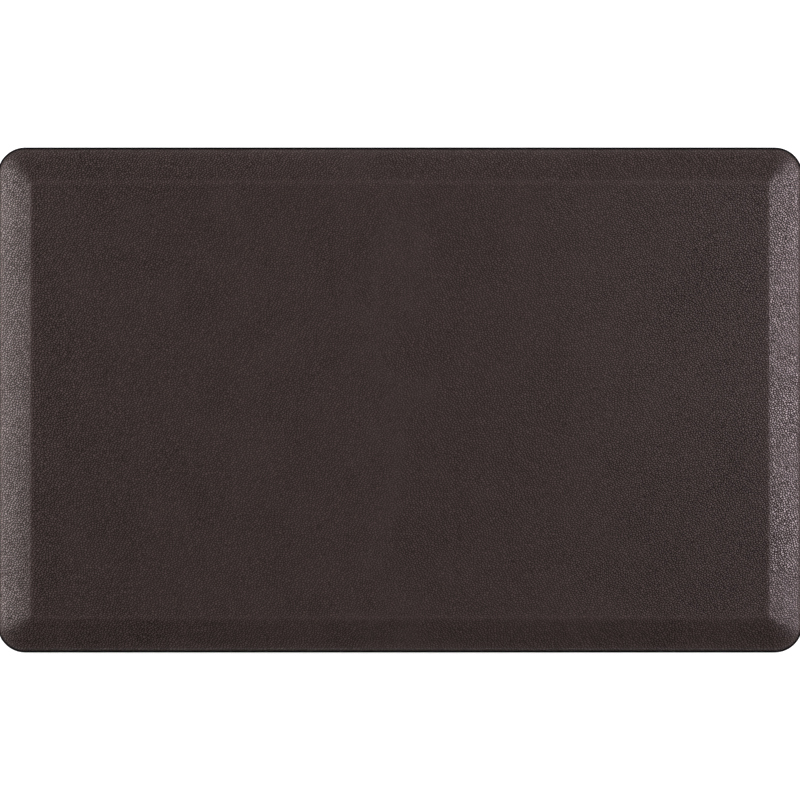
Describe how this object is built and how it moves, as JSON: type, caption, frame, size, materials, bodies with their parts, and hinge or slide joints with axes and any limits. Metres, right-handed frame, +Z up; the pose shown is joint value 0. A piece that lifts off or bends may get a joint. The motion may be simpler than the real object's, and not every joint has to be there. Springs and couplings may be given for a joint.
{
  "type": "anti fatigue mat",
  "caption": "Rectangular cushioned standing mat with bevelled borders, rounded corners and a grained skin over a foam core on a non-slip base.",
  "frame": {"origin": "on the floor, under the middle of the mat", "axes": "+X along the mat's length, +Y along its width, +Z up out of the standing surface"},
  "size_m": [0.813, 0.51, 0.019],
  "materials": {
    "skin": "satin moulded polyurethane with a fine pebbled leather grain",
    "foam": "open cut foam",
    "adhesive": "dull hot-melt film",
    "base": "matt with a fine cross-hatch",
    "grip": "tacky satin rubber"
  },
  "bodies": {
    "root": {"top_skin": "skin", "skin_bond_film": "adhesive", "foam_core": "foam", "base_bond_film": "adhesive", "hem_bond_ring": "adhesive", "base_sheet": "base", "grip_dots": "grip"}
  },
  "joints": []
}
